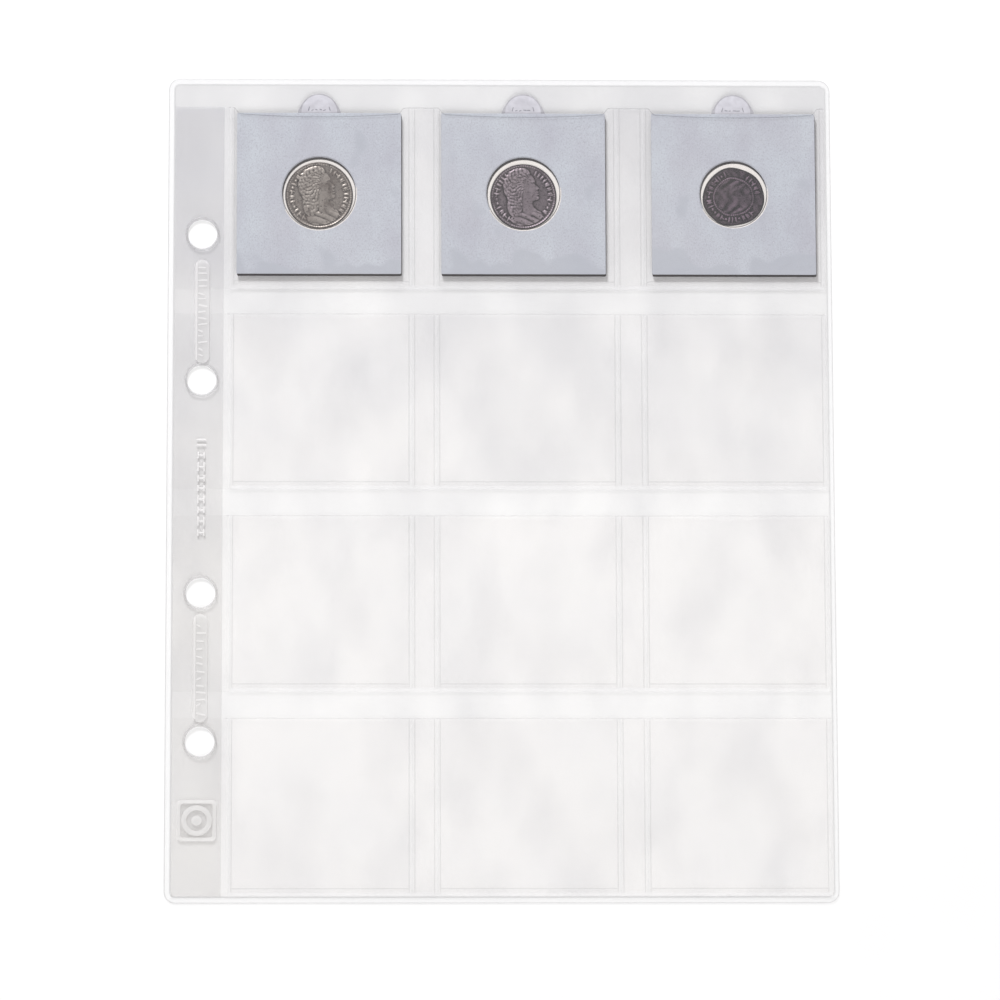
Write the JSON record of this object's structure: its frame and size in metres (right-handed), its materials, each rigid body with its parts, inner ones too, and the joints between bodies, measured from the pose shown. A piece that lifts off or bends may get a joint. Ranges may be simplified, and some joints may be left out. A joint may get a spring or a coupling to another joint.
{
  "type": "coin album page",
  "caption": "Clear ring-binder page of welded plastic film with rows of square pockets, the top row filled with sliding card coin holders, and a margin that folds at a crease.",
  "frame": {"origin": "centre of the page's outline, on the back face the page lies on", "axes": "+Z out of the pocket side, +Y to the page's top edge where the pockets open, -X to the binding margin"},
  "size_m": [0.202, 0.252, 0.0021],
  "materials": {
    "back_film": "clear soft plastic film, faintly milky",
    "front_film": "clear soft plastic film",
    "margin_film": "clear soft plastic film, doubled up",
    "weld": "pressed weld in clear film",
    "hole_rim": "raised welded rim",
    "card_stock": "matt blue-grey card with a dark core",
    "window_film": "thin clear film",
    "pull_tab": "translucent lavender-grey",
    "silver_coin": "worn silver, warm grey",
    "toned_coin": "worn silver, dark toning",
    "dark_coin": "hammered coin, nearly black"
  },
  "bodies": {
    "binding_margin": {"margin_back_film": "back_film", "margin_reinforcement": "margin_film", "margin_film_row_1": "margin_film", "margin_film_row_2": "margin_film", "margin_film_row_3": "margin_film", "margin_film_row_4": "margin_film", "hole_rim_1": "hole_rim", "hole_rim_2": "hole_rim", "hole_rim_3": "hole_rim", "hole_rim_4": "hole_rim", "margin_hem": "weld", "crease_web": "back_film"},
    "pocket_leaf": {"leaf_back_film": "back_film", "leaf_hem": "weld", "pocket_film_row_1": "front_film", "pocket_film_row_2": "front_film", "pocket_film_row_3": "front_film", "pocket_film_row_4": "front_film", "foot_weld_row_1": "weld", "side_weld_row_1_1": "weld", "side_weld_row_1_2": "weld", "side_weld_row_1_3": "weld", "side_weld_row_1_4": "weld", "side_weld_row_1_5": "weld", "side_weld_row_1_6": "weld", "weld_comb_row_2": "weld", "weld_comb_row_3": "weld", "weld_comb_row_4": "weld"},
    "holder_1": {"card_back_1": "card_stock", "card_front_1": "card_stock", "window_film_back_1": "window_film", "window_film_front_1": "window_film", "coin_1": "silver_coin", "pull_tab_1": "pull_tab"},
    "holder_2": {"card_back_2": "card_stock", "card_front_2": "card_stock", "window_film_back_2": "window_film", "window_film_front_2": "window_film", "coin_2": "toned_coin", "pull_tab_2": "pull_tab"},
    "holder_3": {"card_back_3": "card_stock", "card_front_3": "card_stock", "window_film_back_3": "window_film", "window_film_front_3": "window_film", "coin_3": "dark_coin", "pull_tab_3": "pull_tab"}
  },
  "joints": [
    {"name": "leaf_fold", "type": "hinge", "parent": "binding_margin", "child": "pocket_leaf", "pos_m": [-0.083, 0, 0.00025], "axis": [0, -1, 0], "range_deg": [0, 90]},
    {"name": "holder_1_slide", "type": "slide", "parent": "pocket_leaf", "child": "holder_1", "axis": [0, 1, 0], "range_m": [-0.0025, 0.055]},
    {"name": "holder_2_slide", "type": "slide", "parent": "pocket_leaf", "child": "holder_2", "axis": [0, 1, 0], "range_m": [-0.0025, 0.055]},
    {"name": "holder_3_slide", "type": "slide", "parent": "pocket_leaf", "child": "holder_3", "axis": [0, 1, 0], "range_m": [-0.0025, 0.055]}
  ]
}
